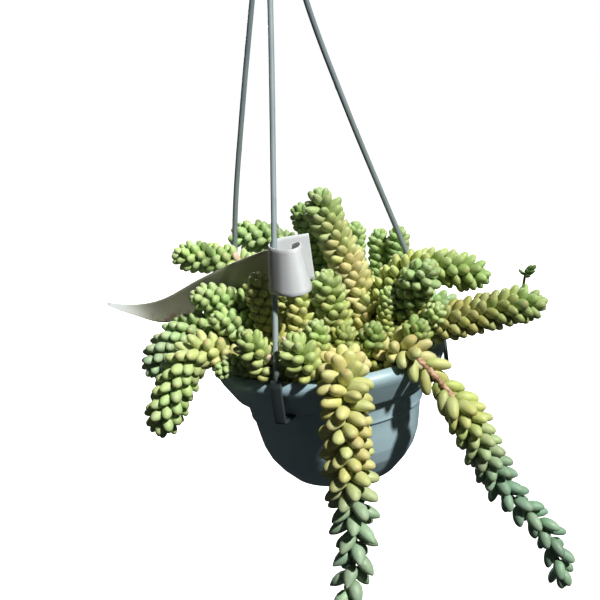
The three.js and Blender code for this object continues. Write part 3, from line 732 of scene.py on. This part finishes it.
def clip_mesh(angle):
    """A clip over the rim, in millimetres, with its edges broken."""
    bm = bmesh.new()
    outline = [bm.verts.new((r, -CLIP_WIDTH / 2, z)) for r, z in rounded(CLIP_OUTLINE, 0.5, 3, True)]
    face = bm.faces.new(outline)
    pulled = bmesh.ops.extrude_face_region(bm, geom=[face])
    moved = [g for g in pulled["geom"] if isinstance(g, bmesh.types.BMVert)]
    bmesh.ops.translate(bm, verts=moved, vec=(0, CLIP_WIDTH, 0))
    bmesh.ops.recalc_face_normals(bm, faces=bm.faces)
    rims = [e for e in bm.edges if abs(e.verts[0].co.y - e.verts[1].co.y) < 1e-6]
    bmesh.ops.bevel(bm, geom=rims, offset=0.28, segments=2, profile=0.6, affect="EDGES")
    bmesh.ops.rotate(bm, verts=bm.verts, matrix=Matrix.Rotation(math.radians(angle), 3, "Z"))
    return taken_from(bm)


CLIP_TOP = 22                       # above it the painted shade on the clip has faded out
STRAND_SIDES = 16
BURRS = 7                           # bumps that the moulding left on each strand


def make_strands():
    rng = np.random.default_rng(11)
    for name, (angle, strand_shade, clip_shade, bow) in STRANDS.items():
        foot, head = (polar(r, math.radians(angle), z) for r, z in (STRAND_FOOT, STRAND_HEAD))
        path = Path([foot, *bow, head], start=(0.0, -1.0, 0.0))
        stations = np.append(np.arange(0, path.length, 1.5), path.length)
        radii = np.full((len(stations), STRAND_SIDES), STRAND_R)
        for _ in range(BURRS):
            at, side = rng.uniform(8, path.length - 8), rng.integers(STRAND_SIDES)
            high = rng.uniform(0.12, 0.4)
            aside = (np.arange(STRAND_SIDES) - side + STRAND_SIDES / 2) % STRAND_SIDES - STRAND_SIDES / 2
            radii += high * np.exp(-((stations[:, None] - at) / 1.1) ** 2 - (aside / 1.4) ** 2)
        verts, faces = joined(tube(path, stations, radii), clip_mesh(angle))
        strand = new_piece(name, verts, faces, [HANGER_PLASTIC])
        # Painted shade on the clip, fading out above CLIP_TOP, and the side strands' own painted shade.
        shade_near_clip = clip_shade * smooth((CLIP_TOP - verts[:, 2]) / 16)
        paint(strand.data, "painted_shade", np.maximum(strand_shade, shade_near_clip))
        stand(strand, "hanger_" + name)


def make_hook():
    arc_r = HOOK_INNER_R + HOOK_WIRE_R
    arc_z = -RIM_Z - HOOK_INNER_R
    route = [(0, 0, HUB_Z + 4), (0, 0, HUB_Z + 9), (0.55 * arc_r, 0, arc_z - 0.86 * arc_r)]
    for degrees in range(-30, 191, 20):
        a = math.radians(degrees)
        route.append((arc_r * math.cos(a), 0, arc_z + arc_r * math.sin(a)))
    path = Path(route, start=(0.0, -1.0, 0.0))
    stations = np.append(np.arange(0, path.length, 1.0), path.length)
    wire = tube(path, stations, np.full((len(stations), 18), HOOK_WIRE_R))
    hub = rounded([(0, HUB_Z - 4), (HUB_R - 1, HUB_Z - 4), (HUB_R, HUB_Z - 3), (HUB_R, HUB_Z),
                   (HOOK_WIRE_R + 1, HUB_Z + 7), (0, HUB_Z + 7)], 0.5)
    hook = new_piece("hook", *joined(wire, lathe(hub, 40)), [HANGER_PLASTIC])
    stand(hook, "hanger_hook")


# -------- label

FACE_POINTS = 13                    # across each face of the label
EDGE_INSET = 0.004                  # of them from its edge, as a share of its width
EDGE_SWELL = 0.45                   # half the thickness at the very edge, as a share of the rest
# Where the label's tail takes painted shade and where it is soiled: two places along X, each with the length
# over which the mark sets in, and the height below which it is soiled.
TAIL_SHADE_X = ((-146, 40), (-24, 12))
SOILED_X = ((-120, 10), (-86, 8))
SOILED_BELOW = (44, 6)
MARKED = 0.9


def label_slab(name, first, last, fine, extra=0.0):
    """The stretch of the label between two of its steps, as a closed sheet of even thickness."""
    u = np.linspace(first, last, (last - first) * fine + 1) / LABEL_STEPS
    low, high = catmull_rom(LABEL_LOWER, u), catmull_rom(LABEL_UPPER, u)
    rise = unit(high - low)
    low, high = low - rise * extra, high + rise * extra
    e = 1e-4
    ahead = (catmull_rom(LABEL_LOWER, np.minimum(u + e, 1)) - catmull_rom(LABEL_LOWER, u - e)
             + catmull_rom(LABEL_UPPER, np.minimum(u + e, 1)) - catmull_rom(LABEL_UPPER, u - e))
    face = unit(np.cross(unit(ahead), rise))
    half = LABEL_THICKNESS / 2 + extra
    across = np.concatenate([[0], np.linspace(EDGE_INSET, 1 - EDGE_INSET, FACE_POINTS), [1]])
    swell = np.array([EDGE_SWELL, *np.ones(FACE_POINTS), EDGE_SWELL])
    loop = []
    for side in (1, -1):
        order = slice(None) if side == 1 else slice(None, None, -1)
        for v, w in zip(across[order], swell[order]):
            loop.append(low + (high - low) * v + face * side * half * w)
    verts = np.stack(loop, 1)
    rings, count = verts.shape[:2]
    faces = bands(rings, count)
    n = count // 2
    for i, turned in ((0, True), (rings - 1, False)):
        for j in range(n - 1):
            quad = [i * count + m for m in (j, j + 1, count - 2 - j, count - 1 - j)]
            faces.append(quad[::-1] if turned else quad)
    return new_piece(name, verts.reshape(-1, 3), faces, [LABEL_PLASTIC])


def between(x, low, high):
    """1 between two places and 0 outside them, each with the length over which it changes."""
    return smooth((x - low[0]) / low[1]) * smooth((high[0] - x) / high[1])


def make_label():
    head = label_slab("label", 0, LABEL_JOIN, 4)
    cut(head, label_slab("slot", LABEL_JOIN + 1, LABEL_JOIN + 6, 2, SLOT_CLEARANCE))
    tail = label_slab("tail", LABEL_JOIN, LABEL_STEPS, 3)
    bm = bmesh.new()
    bm.from_mesh(head.data)
    bm.from_mesh(tail.data)
    bmesh.ops.recalc_face_normals(bm, faces=bm.faces)
    bm.to_mesh(head.data)
    bm.free()
    bpy.data.objects.remove(tail)
    for polygon in head.data.polygons:
        polygon.use_smooth = True
    x, z = (np.array([getattr(v.co, axis) for v in head.data.vertices]) / MM for axis in "xz")
    low = smooth((SOILED_BELOW[0] + RIM_Z - z) / SOILED_BELOW[1])
    paint(head.data, "soiled", between(x, *SOILED_X) * low * MARKED)
    # Painted shade along the label's tail.
    paint(head.data, "tail_shade", between(x, *TAIL_SHADE_X) * MARKED)
    stand(head, "plant_label")


# -------- tails

RING_T = np.array([0, 0.06, 0.18, 0.36, 0.56, 0.74, 0.88, 0.965])
BLUNT = np.array([0.28, 0.54, 0.81, 0.97, 1.0, 0.93, 0.74, 0.45])
POINTED = np.array([0.28, 0.54, 0.84, 1.0, 0.94, 0.71, 0.38, 0.14])
LEAF_SIDES = 12
CURVE_UP = 0.13                     # how far a leaf's tip bends towards the end of its tail
FLAT_TOP = 0.12                     # how much flatter its upper side is
PROBE_T = np.array([0.32, 0.62, 0.90])      # balls along a leaf that feel for others: their places
PROBE_R = np.array([0.46, 0.48, 0.30])      # and radii, by the leaf's length and width
HARD_DEPTH = 0.25                   # how deep, in mm, a leaf may press into pot, soil or hanger
SOFT_DEPTH = 0.55                   # and into another tail's leaf, as a share of the smaller one
# What is tried in turn where a leaf has no room: degrees more open, degrees aside and its size.
SHIFTS = [(0, 0, 1), (-10, 0, 1), (8, 0, 0.96), (0, 13, 0.96), (0, -13, 0.96), (-20, 0, 0.95),
          (-12, 18, 0.9), (-12, -18, 0.9), (-30, 0, 0.86), (-20, 24, 0.8), (-20, -24, 0.8), (-42, 0, 0.78),
          (-6, 0, 0.7), (-24, 0, 0.62), (-48, 0, 0.66)]


TIP_POINT = len(RING_T) * LEAF_SIDES
LEAF_QUADS = np.array(bands(len(RING_T), LEAF_SIDES))
LEAF_CAPS = np.array(fan(TIP_POINT - LEAF_SIDES, LEAF_SIDES, TIP_POINT)
                     + fan(0, LEAF_SIDES, TIP_POINT + 1, turned=True))
LEAF_POINTS = TIP_POINT + 2


def leaf_points(leaves):
    """Every point of every leaf, and how far along its leaf each lies."""
    root, x, y, z, length, width, thick, point = (
        np.array([leaf[key] for leaf in leaves]) for key in "root x y z length width thick point".split())
    share = point[:, None]
    radius = BLUNT * (1 - share) + POINTED * share
    a = ring_angles(LEAF_SIDES)
    up = np.sin(a) * np.where(np.sin(a) > 0, 1 - FLAT_TOP, 1)
    lx = radius[:, :, None] * np.cos(a) * width[:, None, None] / 2
    ly = radius[:, :, None] * up * thick[:, None, None] / 2
    lift = CURVE_UP * RING_T ** 2
    axis = (root[:, None] + z[:, None] * (length[:, None] * RING_T)[:, :, None]
            + y[:, None] * (length[:, None] * lift)[:, :, None])
    rings = (axis[:, :, None] + x[:, None, None] * lx[..., None] + y[:, None, None] * ly[..., None])
    tip = root + z * length[:, None] + y * (length * CURVE_UP)[:, None]
    points = np.concatenate([rings.reshape(len(leaves), -1, 3), tip[:, None], root[:, None]], 1)
    along = np.concatenate([np.repeat(RING_T, LEAF_SIDES), [1.0, 0.0]])
    return points.reshape(-1, 3), np.tile(along, len(leaves))


TAB_R = 76.2                        # where the clips' tabs hang
TAB_LOW, TAB_HIGH = -18.0, 7.0
TAB_HALF_WIDTH = 2.4


class Space:
    """What is already there: how deep a leaf's probes would go into it."""

    def __init__(self):
        wall = np.array(pot_profile())
        self.a, self.b = wall[:-1], wall[1:]
        self.bars = []
        low, aside = np.meshgrid(np.arange(TAB_LOW, TAB_HIGH, 1.5), (-TAB_HALF_WIDTH, 0.0, TAB_HALF_WIDTH))
        for angle, _, _, bow in STRANDS.values():
            turn = math.radians(angle)
            path = Path([polar(r, turn, z) for r, z in ((76, -8), STRAND_FOOT)] + bow[:2])
            self.bars.append(path.at(np.arange(0, path.length, 1.0))[0])
            out = np.array((math.cos(turn), math.sin(turn)))
            flat = TAB_R * out + aside.reshape(-1, 1) * np.array((-out[1], out[0]))
            self.bars.append(np.column_stack([flat, low.ravel()]))
        self.bars = np.vstack(self.bars)
        u = np.linspace(0, 1, 160)
        low, high = catmull_rom(LABEL_LOWER, u), catmull_rom(LABEL_UPPER, u)
        self.sheet = np.vstack([low + (high - low) * v for v in np.linspace(0, 1, 16)])
        self.balls = np.zeros((0, 3))
        self.sizes = np.zeros(0)
        self.owner = np.zeros(0, int)

    def add(self, centres, sizes, owner):
        self.balls = np.vstack([self.balls, centres])
        self.sizes = np.append(self.sizes, sizes)
        self.owner = np.append(self.owner, np.full(len(sizes), owner))

    def neighbours(self, owner, low, high):
        """Narrows later questions to what lies in a box and belongs to other tails."""
        inside = np.all((self.balls > low) & (self.balls < high), axis=1) & (self.owner != owner)
        self.near, self.near_sizes = self.balls[inside], self.sizes[inside]
        self.near_bars, self.near_sheet = (
            cloud[np.all((cloud > low) & (cloud < high), axis=1)] for cloud in (self.bars, self.sheet))

    def hard(self, probes, sizes):
        """Depth into the pot, the soil, the strands and the label."""
        worst = np.max(SOIL_TOP + 0.7 * sizes - probes[:, 2] - 1000 * (np.hypot(*probes[:, :2].T) > 70))
        flat = np.stack([np.hypot(probes[:, 0], probes[:, 1]), probes[:, 2]], 1)
        edge = self.b - self.a
        w = np.sum((flat[:, None] - self.a) * edge, 2) / np.maximum(np.sum(edge * edge, 1), 1e-9)
        foot = self.a + edge * np.clip(w, 0, 1)[..., None]
        gap = np.linalg.norm(flat[:, None] - foot, axis=2).min(1)
        worst = max(worst, np.max(sizes - gap))
        for cloud, half in ((self.near_bars, STRAND_R), (self.near_sheet, LABEL_THICKNESS / 2)):
            if len(cloud):
                gap = np.linalg.norm(probes[:, None] - cloud, axis=2).min(1)
                worst = max(worst, np.max(sizes + half - gap))
        return worst

    def soft(self, probes, sizes):
        """Depth into other tails' leaves, as a share of the smaller leaf's girth."""
        if not len(self.near):
            return 0.0
        gap = np.linalg.norm(probes[:, None] - self.near, axis=2)
        depth = sizes[:, None] + self.near_sizes - gap
        return np.max(depth / np.minimum(sizes[:, None], self.near_sizes))


def probes_of(leaf):
    t = PROBE_T[:, None]
    centres = leaf["root"] + leaf["length"] * (leaf["z"] * t + leaf["y"] * CURVE_UP * t * t)
    return centres, PROBE_R * leaf["width"]


def set_leaf(path, s, turn, open_angle, length, width, thick, point, stem_r):
    p, t, n, b = (v[0] for v in path.at(s))
    out = n * math.cos(turn) + b * math.sin(turn)
    z = t * math.cos(open_angle) + out * math.sin(open_angle)
    x = unit(np.cross(t, out))
    y = np.cross(z, x)
    if y @ t < 0:
        x, y = -x, -y
    return {"root": p + out * stem_r * 0.55, "x": x, "y": y, "z": z, "length": length,
            "width": width, "thick": thick, "point": point, "out": out}


FULL_OPEN = math.radians(76)
CROWN = 11                          # leaves in the dome that ends a tail
SPARSE_CROWN = 5
CROWN_DEPTH = 0.50                  # length of stem under the dome, in radii
CROWN_SIZE = 0.62                   # size of the innermost leaf
PACKING = 0.217                     # length of stem for each leaf, by its girth squared and the radius

# How a tail is clad, from its root to its tip: the share of its length, how far apart its leaves
# stand, how far they open in degrees, how pointed they are and how large.
DENSE = [(0, 1.0, 76, 0.12, 1.0), (1, 1.0, 76, 0.12, 1.0)]
HABITS = {
    "front_trailing": [(0, 1.08, 76, 0.10, 1.04), (0.26, 1.04, 90, 0.05, 1.0), (0.50, 1.04, 92, 0.10, 1.0),
                       (0.62, 1.6, 76, 0.5, 1.06), (0.76, 2.6, 60, 0.8, 1.05), (1, 4.4, 40, 0.9, 0.95)],
    "right_trailing": [(0, 1.1, 72, 0.1, 1.1), (0.18, 1.5, 60, 0.1, 1.16), (0.22, 2.4, 52, 0.1, 1.2),
                       (0.32, 2.4, 52, 0.1, 1.2), (0.38, 1.2, 68, 0.1, 1.05), (0.56, 1.3, 68, 0.2, 1.0),
                       (0.66, 3.0, 54, 0.3, 1.0), (1, 3.8, 46, 0.4, 0.95)],
    "left_lower": [(0, 1.1, 58, 0.12, 0.72), (0.2, 1.05, 64, 0.12, 0.8), (0.4, 1.0, 74, 0.12, 1.0),
                   (1, 1.0, 76, 0.12, 1.0)],
}
# Where along a tail its three tones stand, unless they are spread evenly.
TONE_STOPS = {"front_trailing": (0, 0.46, 0.60), "right_trailing": (0, 0.36, 0.54),
              "left_lower": (0, 0.6, 1)}
SCARRED = {"right_trailing": (41.0, 74.0)}      # a stretch that has lost the leaves on its near side
NEAR_SIDE = (-0.25, -0.75, 0.6)
# The leaf nearest to each of these points has withered.
WITHERED = {"left_front_head": (-34, -64, 22), "front_left_head": (-31, -68, 32),
            "left_upper": (-49, 15, 72)}
# The stems of young side shoots.
SPROUTS = {"right_long": [(122, -38, 33), (123.5, -38, 41.5), (125, -38, 46), (127.5, -38.5, 48)]}


def places(path, radius, bare, name):
    """Where the leaves of a tail stand, from its tip down."""
    habit = np.array(HABITS.get(name, DENSE))
    crown = SPARSE_CROWN if habit[-1, 1] > 2 else CROWN
    full = (radius - 1.6) / math.sin(FULL_OPEN)
    girth = full * (0.57 + 0.15 * (1 - float(smooth((radius - 8.5) / 6))))
    top = path.length - CROWN_SIZE * full
    s, n, found = top, 0, []
    while s > bare:
        share = min(1.0, (n + 0.3) / crown)
        gap, opening, point, scale = (float(np.interp(s / path.length, habit[:, 0], habit[:, k]))
                                      for k in (1, 2, 3, 4))
        size = (CROWN_SIZE + (1 - CROWN_SIZE) * share) * scale
        found.append({"s": s, "n": n, "opening": math.radians(opening) * share ** 0.6, "point": point,
                      "length": full * size, "width": girth * size ** 0.8})
        n += 1
        if n < crown:
            s = top - CROWN_DEPTH * radius * (n / crown) ** 1.3
        else:
            s -= PACKING * girth ** 2 / radius * gap
    return found


def grow(index, name, radius, bare, tones, path, space, rng):
    """The leaves of one tail, from its lowest to its tip."""
    scar_from, scar_to = SCARRED.get(name, (-1, -1))
    tones = np.array([linear(TONES[tone]) for tone in tones.split()])
    stops = TONE_STOPS.get(name, (0, 0.5, 1))
    space.neighbours(index, path.p.min(0) - 2 * radius, path.p.max(0) + 2 * radius)
    leaves, scars = [], []
    first_turn = rng.uniform(0, 2 * math.pi)
    for place in reversed(places(path, radius, bare, name)):
        s, turn = place["s"], first_turn + place["n"] * GOLDEN_ANGLE
        length = place["length"] * rng.uniform(0.94, 1.06)
        width = place["width"] * rng.uniform(0.95, 1.05)
        thick = width * rng.uniform(0.86, 0.94)
        opening = place["opening"] + math.radians(rng.normal(0, 2.5))
        point = float(np.clip(rng.normal(place["point"], 0.08), 0, 1))
        stem_r = 2.1 - 1.0 * s / path.length
        wanted = turn + rng.normal(0, 0.03)
        chosen = None
        for more_open, aside, shrink in SHIFTS:
            leaf = set_leaf(path, s, wanted + math.radians(aside),
                            max(0.05, opening + math.radians(more_open)), length * shrink,
                            width * (0.5 + 0.5 * shrink), thick * (0.5 + 0.5 * shrink), point, stem_r)
            probes, sizes = probes_of(leaf)
            if space.hard(probes, sizes) < HARD_DEPTH and space.soft(probes, sizes) < SOFT_DEPTH:
                chosen = leaf
                break
        if scar_from < s < scar_to and chosen and chosen["out"] @ NEAR_SIDE > 0.1:
            scars.append((s, turn))
            chosen = None
        if chosen:
            share = float(np.clip((s - bare) / max(path.length - bare, 1), 0, 1))
            tone = np.array([np.interp(share, stops, tones[:, k]) for k in range(3)])
            # Leaves that face down are made up to 16% darker. This is partly the paler tops of sun-bleached
            # upper leaves and partly painted shade on the undersides.
            bleach_and_shade = 0.5 + 0.5 * chosen["out"][2]
            tone = tone * (0.84 + 0.16 * bleach_and_shade) * rng.uniform(0.92, 1.08)
            tone = tone * (1 + rng.normal(0, 0.03, 3))
            chosen["tint"] = np.clip(tone, 0.01, 0.9)
            chosen["blush"] = float(rng.random() < 0.25) * rng.uniform(0.2, 0.6)
            leaves.append(chosen)
    for leaf in leaves:
        space.add(*probes_of(leaf), index)
    return leaves, scars


def wither(leaves, point):
    """Shrinks and dries the leaf that lies nearest to a point."""
    leaf = min(leaves, key=lambda one: np.linalg.norm(one["root"] + 0.6 * one["length"] * one["z"] - point))
    leaf["tint"] = linear(DRIED)
    leaf["thick"] *= 0.55
    leaf["width"] *= 0.85


def stem_points(path, radius_from, radius_to, scars, rng, sides=10):
    """A stem, swollen and knotty where leaves have dropped off it."""
    stations = np.append(np.arange(0, path.length - 2.5, 1.0), path.length - 2.0)   # inside its last leaves
    share = stations / path.length
    radii = (radius_from + (radius_to - radius_from) * share)[:, None] * np.ones(sides)
    if scars:
        knots = np.arange(0, path.length, 2.6) + rng.uniform(-0.9, 0.9, int(np.ceil(path.length / 2.6)))
        bent = np.interp(stations, knots, rng.uniform(0.60, 1.35, len(knots)))
        radii *= bent[:, None] * (1 + rng.normal(0, 0.07, radii.shape))
    a = ring_angles(sides)
    for s, turn in scars:
        around = (a - turn + math.pi) % (2 * math.pi) - math.pi
        radii += 0.8 * np.exp(-((stations[:, None] - s) / 1.0) ** 2 - (around / 0.5) ** 2)
    return tube(path, stations, radii)


def sprout(route, rng):
    """A young side shoot: its thin stem and the few small leaves at its end."""
    path = Path(route)
    leaves = []
    for n in range(9):
        leaf = set_leaf(path, path.length - 0.6 * n, n * GOLDEN_ANGLE, math.radians(12 + 9 * n),
                        4.6 * rng.uniform(0.85, 1.1), 2.6, 2.3, 0.3, 0.6)
        leaf["tint"] = linear(TONES["deep"]) * rng.uniform(0.55, 0.9)
        leaf["blush"] = 0.0
        leaves.append(leaf)
    return stem_points(path, 1.0, 0.7, [], rng), leaves


WOODY = (200, 170, 142)
YOUNG_STEM = (150, 172, 120)
PALE_STEM = (160, 190, 160)
SPROUT_STEM = (120, 150, 100)
WOODY_SHARE = 0.36                  # how much of a scarred stem is woody


def make_tail(index, spec, path, space):
    name, radius, bare, tones, slot = spec
    rng = np.random.default_rng(100 + index)
    leaves, scars = grow(index, name, radius, bare, tones, path, space, rng)
    if name in WITHERED:
        wither(leaves, WITHERED[name])
    stem_r = (2.2, 1.2) if radius > 8 else (1.5, 0.9)
    stem = stem_points(path, *stem_r, scars, rng)
    height = np.linspace(0, 1, len(stem[0]))[:, None]
    if scars:
        stem_tint = np.where(height < WOODY_SHARE, linear(WOODY), linear(PALE_STEM))
    else:
        stem_tint = linear(YOUNG_STEM) * (1 - height) + linear(PALE_STEM) * height
    if name in SPROUTS:
        side_stem, side_leaves = sprout(SPROUTS[name], rng)
        stem = joined(stem, side_stem)
        stem_tint = np.vstack([stem_tint, np.tile(linear(SPROUT_STEM), (len(side_stem[0]), 1))])
        leaves += side_leaves
    stem_verts, stem_faces = stem
    first = len(stem_verts) + LEAF_POINTS * np.arange(len(leaves))[:, None, None]
    leaf_faces = (LEAF_QUADS + first).reshape(-1, 4).tolist() + (LEAF_CAPS + first).reshape(-1, 3).tolist()
    leaf_verts, along = leaf_points(leaves)
    tail = new_piece("tail_" + name, np.vstack([stem_verts, leaf_verts]), stem_faces + leaf_faces,
                     [LEAF_SKIN, STEM_SKIN], [1] * len(stem_faces) + [0] * len(leaf_faces))
    tint, blush = (np.repeat([leaf[key] for leaf in leaves], LEAF_POINTS, 0) for key in ("tint", "blush"))
    bare_stem = np.zeros(len(stem_verts))
    paint(tail.data, "tint", np.vstack([stem_tint, tint]))
    paint(tail.data, "along", np.concatenate([bare_stem, along]))
    paint(tail.data, "blush", np.concatenate([bare_stem, blush]))
    stand(tail, "tail_" + name)


# -------- making it all

STEM_ROOM = 2.2                     # radius kept free round each stem, along this share of it
STEM_SHARE = 0.7

make_camera()
make_lights()
make_world()
make_floor()
make_pot()
make_soil()
make_strands()
make_hook()
make_label()
space = Space()
stems = [Path([(*root, ROOT_Z), *rest]) for *_, (root, *rest) in TAILS]
for index, stem in enumerate(stems):
    at = np.arange(0, stem.length * STEM_SHARE, 2.0)
    space.add(stem.at(at)[0], np.full(len(at), STEM_ROOM), index)
for index, (spec, stem) in enumerate(zip(TAILS, stems)):
    make_tail(index, spec[:-1], stem, space)
